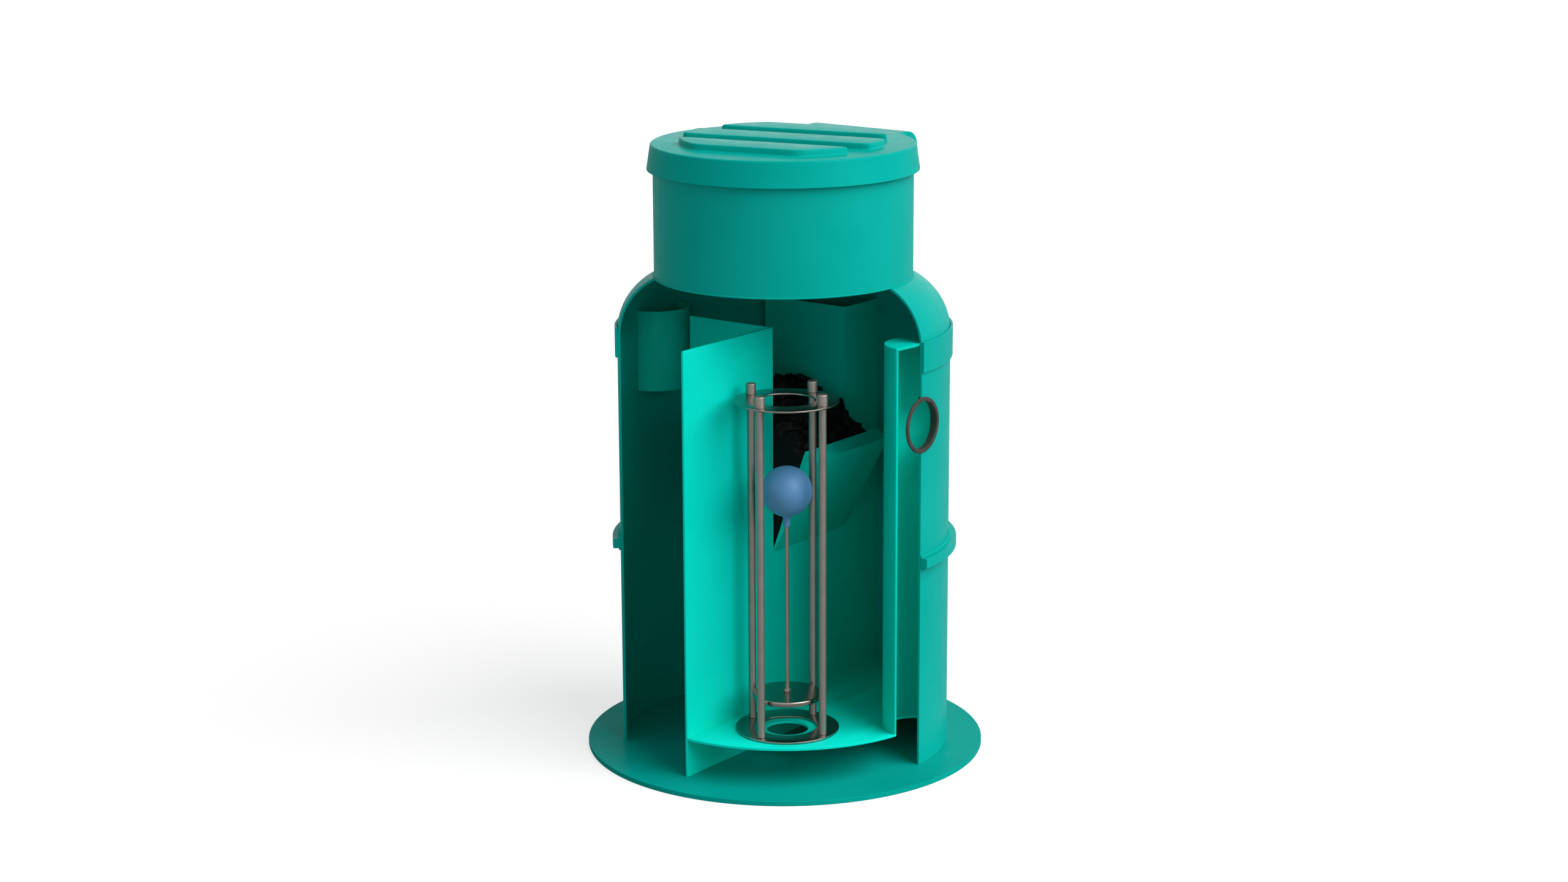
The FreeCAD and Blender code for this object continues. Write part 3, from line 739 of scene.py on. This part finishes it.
ring_radius = (cage_high.x - cage_low.x) / 2
seat_bore, top_bore = 0.071, 0.0695
top_low, top_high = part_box("cage_top_ring")
steel_turned("seat_plate_ring", soft_band(seat_bore, ring_radius, cage_low.z, cage_high.z, 0.0008),
             ring_steel, "seat_ring")
steel_turned("top_plate_ring", soft_band(top_bore, ring_radius, top_low.z, top_high.z, 0.0009),
             ring_steel, "cage_top_ring")

rod_edge, cap_edge, cap_round, stud_radius = 0.0008, 0.0006, 0.003, 0.005
for spot in ("outlet", "back", "inlet", "front"):
    low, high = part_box("guide_rod_" + spot)
    middle = ((low.x + high.x) / 2, (low.y + high.y) / 2)
    rod = (high.x - low.x) / 2
    rod_outline = [(0, low.z), (rod - rod_edge, low.z), (rod, low.z + rod_edge),
                   (rod, top_low.z - rod_edge), (rod - rod_edge, top_low.z),
                   (stud_radius, top_low.z), (stud_radius, high.z), (0, high.z)]
    steel_turned("rod_" + spot, rod_outline, rod_steel, "guide_rod_" + spot, 40, middle)
    low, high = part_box("cap_nut_" + spot)
    cap = (high.x - low.x) / 2
    cap_outline = [(0, low.z), (cap - cap_edge, low.z), (cap, low.z + cap_edge)]
    cap_outline += arc_points(cap - cap_round, high.z - cap_round, cap_round, 0.0, 90.0, 5)
    cap_outline += [(cap * 0.45, high.z - 0.0001), (0, high.z)]
    steel_turned("cap_" + spot, cap_outline, rod_steel, "cap_nut_" + spot, 40, middle)

# ---------------------------------------------------------------------------------------
# Float valve: a turned steel disc on a thin rod, held by a hexagon nut, hangs from a blow
# moulded blue float. It slides up and down between the cage's rods.
# ---------------------------------------------------------------------------------------
disc_low, disc_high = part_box("valve_disc")
disc_radius = (disc_high.x - disc_low.x) / 2
stem_low, stem_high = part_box("float_stem")
stem_radius = (stem_high.x - stem_low.x) / 2
disc_round = 0.004
disc_outline = [(stem_radius, disc_low.z), (stem_radius, disc_high.z)]
disc_outline += arc_points(disc_radius - disc_round, disc_high.z - disc_round, disc_round,
                           90.0, 0.0, 6)
disc_outline += arc_points(disc_radius - disc_round, disc_low.z + disc_round, disc_round,
                           0.0, -90.0, 6)
steel_turned("disc_turned", disc_outline, ring_steel, "valve_disc", body="float_valve")
placed("stem_rod", turned(band(0, stem_radius, stem_low.z, stem_high.z), steps=28,
                          centre=cage_centre),
       rod_steel, edge=0.0005, body="float_valve", nodes=["float_stem"])

nut_low, nut_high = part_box("stem_nut")
nut_corner = (nut_high.x - nut_low.x) / 2
nut_flat = nut_corner * math.cos(math.radians(30))
nut = bmesh.new()
levels = ((nut_low.z, nut_flat * 0.97), (nut_low.z + 0.0008, nut_corner),
          (nut_high.z - 0.0010, nut_corner), (nut_high.z, nut_flat * 0.96))
nut_steps = 48
nut_rings = []
for z, reach in levels:
    ring = []
    for step in range(nut_steps):
        angle = math.radians(360.0 * step / nut_steps)
        across = (angle - math.pi / 6) % (math.pi / 3) - math.pi / 6
        r = min(reach, nut_flat / math.cos(across))
        ring.append(nut.verts.new((cage_x + r * math.cos(angle), cage_y + r * math.sin(angle), z)))
    nut_rings.append(ring)
skinned(nut, nut_rings)
placed("stem_hexagon", nut, rod_steel, edge=0, body="float_valve",
       nodes=["stem_nut"])

float_blue, net, shader, place = new_material("blue float plastic", {"Specular IOR Level": 0.3})
flow = speckle(net, place, 18.0, 4.0)
flow_tone = two_tones(net, 0.3, (0.085, 0.250, 0.480), 0.7, (0.105, 0.285, 0.530))
wired(net, (flow, "Fac", flow_tone, "Fac"), (flow_tone, "Color", shader, "Base Color"))
scuff = added(net, "ShaderNodeMapRange", {"To Min": 0.34, "To Max": 0.48})
wired(net, (flow, "Fac", scuff, "Value"), (scuff, "Result", shader, "Roughness"))
peel = speckle(net, place, 260.0)
peel_bump = added(net, "ShaderNodeBump", {"Strength": 0.05, "Distance": 0.0008})
wired(net, (peel, "Fac", peel_bump, "Height"), (peel_bump, "Normal", shader, "Normal"))

ball_low, ball_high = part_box("float_ball")
ball_radius = (ball_high.x - ball_low.x) / 2
ball_z = ball_high.z - ball_radius
neck_tip = ball_low.z
neck_thick = 0.0085
flare = 0.012
join_radius = neck_thick + flare
join_drop = math.sqrt(ball_radius ** 2 - join_radius ** 2)
ball_outline = [(0, ball_high.z)]
last_turn = -math.degrees(math.acos(join_radius / ball_radius))
ball_outline += arc_points(0.0, ball_z, ball_radius, 90.0, last_turn, 36)[1:]
flare_z = ball_z - join_drop - flare
ball_outline += arc_points(join_radius, flare_z, flare, 90.0, 180.0, 8)[1:]
ball_outline += [(neck_thick - 0.0005, neck_tip + 0.004), (neck_thick - 0.0011, neck_tip + 0.0006),
                 (neck_thick - 0.0018, neck_tip), (0, neck_tip)]
placed("float_moulding", turned(ball_outline, steps=96, centre=cage_centre), float_blue, edge=0,
       body="float_valve", nodes=["float_ball"])

# ---------------------------------------------------------------------------------------
# Weld beads: hand-run fillets of the sheet's own plastic along the shell's joints, laid
# down in short overlapping ripples.
# ---------------------------------------------------------------------------------------
bead_run, bead_inlets, given, made = new_tree("bead run", "Seam", ("Ripple pitch", "Float"),
                                              ("Bead radius", "Float"), ("Plastic", "Material"))
as_curve = bead_run.nodes.new("GeometryNodeMeshToCurve")
spaced = added(bead_run, "GeometryNodeResampleCurve", mode="LENGTH")
tangent = bead_run.nodes.new("GeometryNodeInputTangent")
align = added(bead_run, "FunctionNodeAlignRotationToVector", axis="X")
ripple = added(bead_run, "GeometryNodeMeshUVSphere", {"Segments": 8, "Rings": 5, "Radius": 1.0})
stretch = bead_run.nodes.new("ShaderNodeCombineXYZ")
uneven = added(bead_run, "FunctionNodeRandomValue", {2: 0.92, 3: 1.08, "Seed": 3})
girth = added(bead_run, "ShaderNodeMath", operation="MULTIPLY")
run_on = bead_run.nodes.new("GeometryNodeInstanceOnPoints")
real = bead_run.nodes.new("GeometryNodeRealizeInstances")
smooth = bead_run.nodes.new("GeometryNodeSetShadeSmooth")
dress = bead_run.nodes.new("GeometryNodeSetMaterial")
wired(bead_run, (given, "Seam", as_curve, "Mesh"), (as_curve, "Curve", spaced, "Curve"),
      (given, "Ripple pitch", spaced, "Length"), (spaced, "Curve", run_on, "Points"),
      (ripple, "Mesh", run_on, "Instance"), (tangent, "Tangent", align, "Vector"),
      (align, "Rotation", run_on, "Rotation"), (given, "Bead radius", girth, 0),
      (uneven, 1, girth, 1), (girth, "Value", stretch, "Y"), (girth, "Value", stretch, "Z"),
      (given, "Ripple pitch", stretch, "X"), (stretch, "Vector", run_on, "Scale"),
      (run_on, "Instances", real, "Geometry"), (real, "Geometry", smooth, "Geometry"),
      (smooth, "Geometry", dress, "Geometry"), (given, "Plastic", dress, "Material"),
      (dress, "Geometry", made, "Mesh"))


def arc_path(radius, z, start, end):
    """Points of a level arc about the tank's axis."""
    count = max(2, int((end - start) / 1.5))
    path = []
    for index in range(count + 1):
        angle = math.radians(start + (end - start) * index / count)
        path.append((radius * math.cos(angle), radius * math.sin(angle), z))
    return path


def beads(name, paths, radius, plastic, pitch=0.0032):
    """Run beads along open paths and let them ride on the tank."""
    points, edges = [], []
    for path in paths:
        first = len(points)
        points += path
        edges += [(first + i, first + i + 1) for i in range(len(path) - 1)]
    seam_mesh = bpy.data.meshes.new(name)
    seam_mesh.from_pydata(points, edges, [])
    piece = linked(name, seam_mesh)
    carry(piece, bead_run, bead_inlets, pitch, radius, plastic)
    plain = evaluated_mesh(piece)
    piece.modifiers.clear()
    piece.data = plain
    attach(piece, "tank")


sunk, neck_sunk, bead_end = 0.0012, 0.0003, 0.3
rib_bead, neck_bead = 0.0048, 0.0024
bead_from, bead_to = sawn_start + bead_end, sawn_end - bead_end
beads("bead_rib", [arc_path(tank_radius + sunk, rib_high + sunk, bead_from, bead_to),
                   arc_path(tank_radius + sunk, rib_low - sunk, bead_from, bead_to)],
      rib_bead, tank_sheet)
beads("bead_neck", [arc_path(neck_radius + neck_sunk, neck_foot, 0, 360)], neck_bead, tank_sheet)
